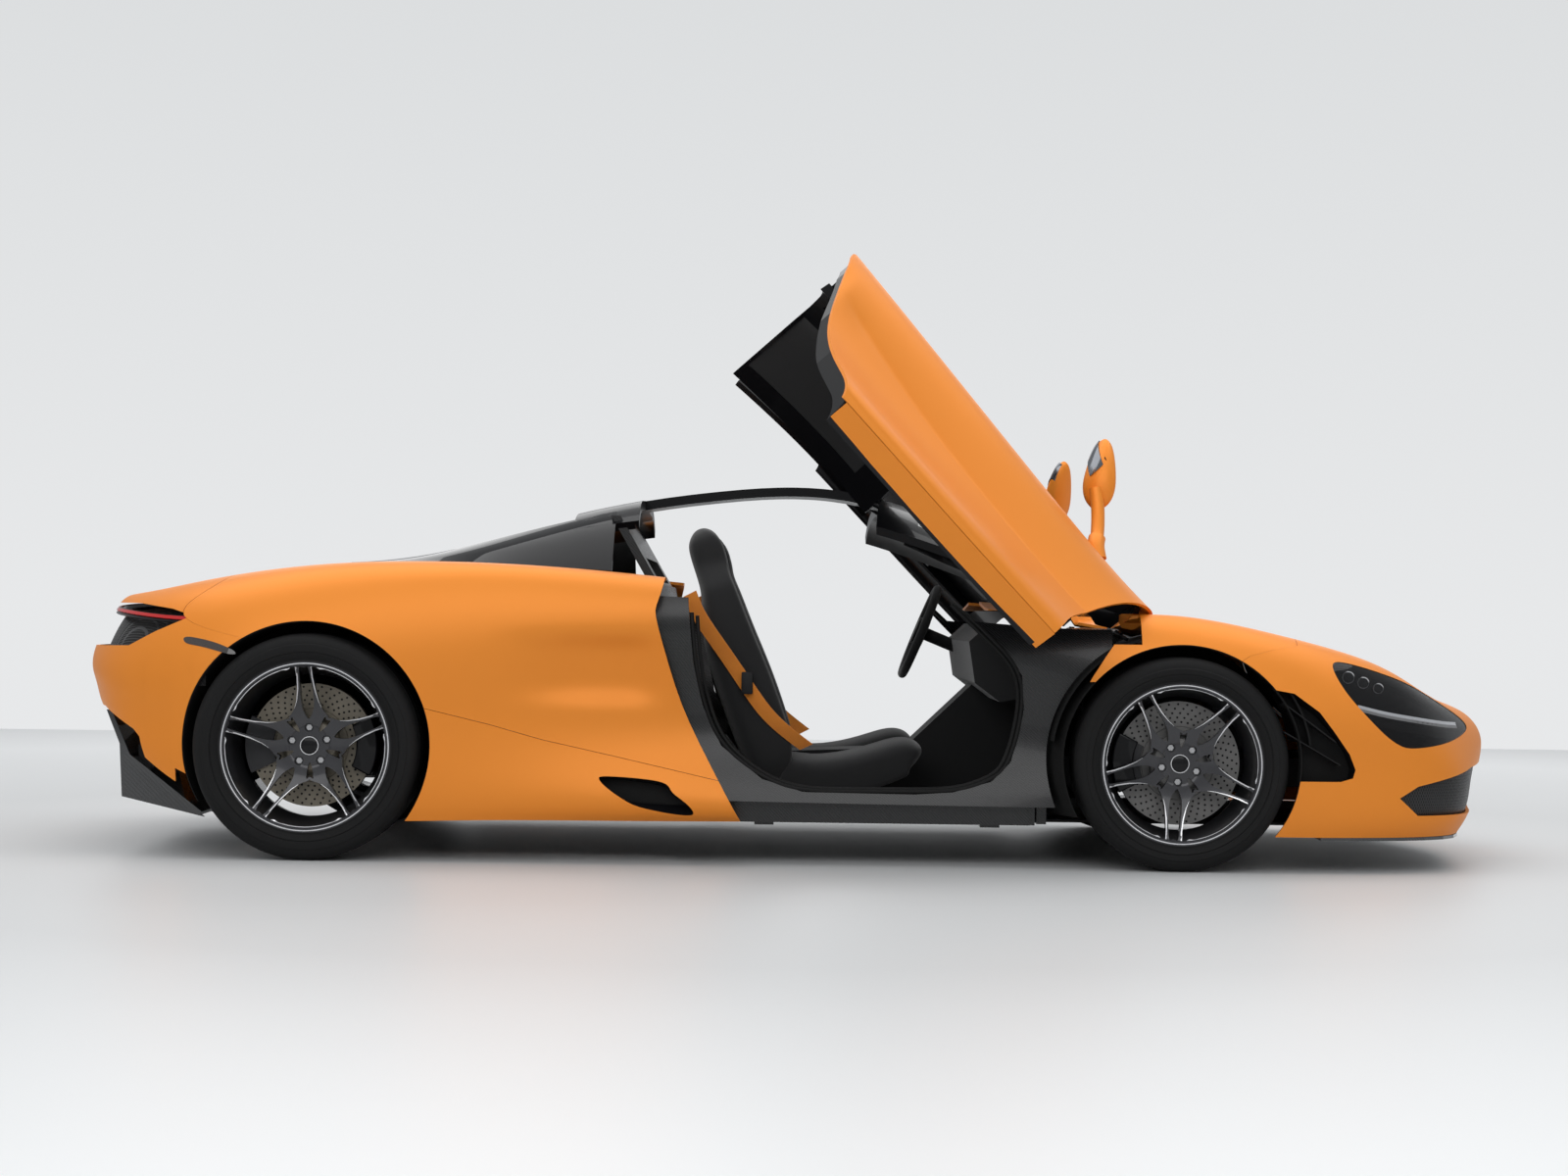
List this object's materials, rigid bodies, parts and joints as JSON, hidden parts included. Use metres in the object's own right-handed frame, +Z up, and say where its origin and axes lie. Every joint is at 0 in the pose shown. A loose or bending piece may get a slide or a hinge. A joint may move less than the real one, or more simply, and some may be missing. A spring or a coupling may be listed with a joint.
{
  "type": "two-seat mid-engined supercar with upward-swinging doors",
  "caption": "Low two-seat mid-engined sports car with upward-swinging doors standing open, a front bonnet, steered front wheels and free-turning wheels.",
  "frame": {"origin": "on the ground, in the middle of the car's length and width", "axes": "+X forward, +Y to the car's left, +Z up"},
  "size_m": [4.5442, 2.936, 1.8676],
  "materials": {
    "aluminium": "cast",
    "black_gloss": "gloss black",
    "black_plastic": "fine-grained black",
    "carbon": "lacquered carbon fibre",
    "disc": "ground",
    "glass": "tinted",
    "lamp": "clear over dark",
    "lamp_red": "red",
    "leather": "black",
    "orange_paint": "gloss orange",
    "rim_grey": "dark grey with bright edges",
    "steel": "heat-stained",
    "tyre": "rubber"
  },
  "bodies": {
    "chassis": {"arch_liners": "black_plastic", "dashboard": "black_plastic", "diffuser": "carbon", "engine": "aluminium", "engine_cover": "black_gloss", "exhaust": "steel", "floor_pan": "black_plastic", "front_bumper": "orange_paint", "front_splitter": "carbon", "front_wings": "orange_paint", "headlights": "lamp", "quarter_glass": "glass", "rear_bumper": "orange_paint", "rear_quarters": "orange_paint", "rear_uprights": "aluminium", "roof": "black_gloss", "seats": "leather", "side_skirts": "carbon", "subframes": "aluminium", "suspension_arms": "aluminium", "tail_lights": "lamp_red", "tub": "carbon", "windscreen": "glass"},
    "bonnet": {"bonnet": "orange_paint"},
    "steering_wheel": {"steering_wheel": "black_plastic"},
    "door_left": {"door_panel_left": "orange_paint", "door_frame_left": "black_plastic", "door_glass_left": "glass"},
    "door_right": {"door_panel_right": "orange_paint", "door_frame_right": "black_plastic", "door_glass_right": "glass"},
    "knuckle_left": {"knuckle_left": "aluminium"},
    "knuckle_right": {"knuckle_right": "aluminium"},
    "wheel_front_left": {"tyre_front_left": "tyre", "rim_front_left": "rim_grey", "disc_front_left": "disc"},
    "wheel_front_right": {"tyre_front_right": "tyre", "rim_front_right": "rim_grey", "disc_front_right": "disc"},
    "wheel_rear_left": {"tyre_rear_left": "tyre", "rim_rear_left": "rim_grey", "disc_rear_left": "disc"},
    "wheel_rear_right": {"tyre_rear_right": "tyre", "rim_rear_right": "rim_grey", "disc_rear_right": "disc"}
  },
  "joints": [
    {"name": "door_left_hinge", "type": "hinge", "parent": "chassis", "child": "door_left", "pos_m": [0.95, 0.731, 0.743], "axis": [-0.7201, -0.5623, 0.4064], "range_deg": [0, 70]},
    {"name": "door_right_hinge", "type": "hinge", "parent": "chassis", "child": "door_right", "pos_m": [0.95, -0.731, 0.743], "axis": [0.7201, -0.5623, -0.4064], "range_deg": [0, 70]},
    {"name": "bonnet_hinge", "type": "hinge", "parent": "chassis", "child": "bonnet", "pos_m": [1.118, 0, 0.713], "axis": [0, -1, 0], "range_deg": [0, 50]},
    {"name": "steering_wheel_turn", "type": "hinge", "parent": "chassis", "child": "steering_wheel", "pos_m": [0.43, 0.37, 0.715], "axis": [-0.9272, 0, 0.3746], "range_deg": [-416, 416]},
    {"name": "steer_left", "type": "hinge", "parent": "chassis", "child": "knuckle_left", "pos_m": [1.172, 0.763, 0.327], "axis": [0, 0, 1], "range_deg": [-32, 32]},
    {"name": "steer_right", "type": "hinge", "parent": "chassis", "child": "knuckle_right", "pos_m": [1.172, -0.763, 0.327], "axis": [0, 0, 1], "range_deg": [-32, 32]},
    {"name": "wheel_front_left_spin", "type": "hinge", "parent": "knuckle_left", "child": "wheel_front_left", "pos_m": [1.172, 0.837, 0.327], "axis": [0, 1, 0], "continuous": true},
    {"name": "wheel_front_right_spin", "type": "hinge", "parent": "knuckle_right", "child": "wheel_front_right", "pos_m": [1.172, -0.837, 0.327], "axis": [0, 1, 0], "continuous": true},
    {"name": "wheel_rear_left_spin", "type": "hinge", "parent": "chassis", "child": "wheel_rear_left", "pos_m": [-1.498, 0.8145, 0.3455], "axis": [0, 1, 0], "continuous": true},
    {"name": "wheel_rear_right_spin", "type": "hinge", "parent": "chassis", "child": "wheel_rear_right", "pos_m": [-1.498, -0.8145, 0.3455], "axis": [0, 1, 0], "continuous": true}
  ],
  "couplings": [
    {"joint": "steer_right", "follows": "steer_left", "ratio": 1},
    {"joint": "steering_wheel_turn", "follows": "steer_left", "ratio": 13}
  ]
}
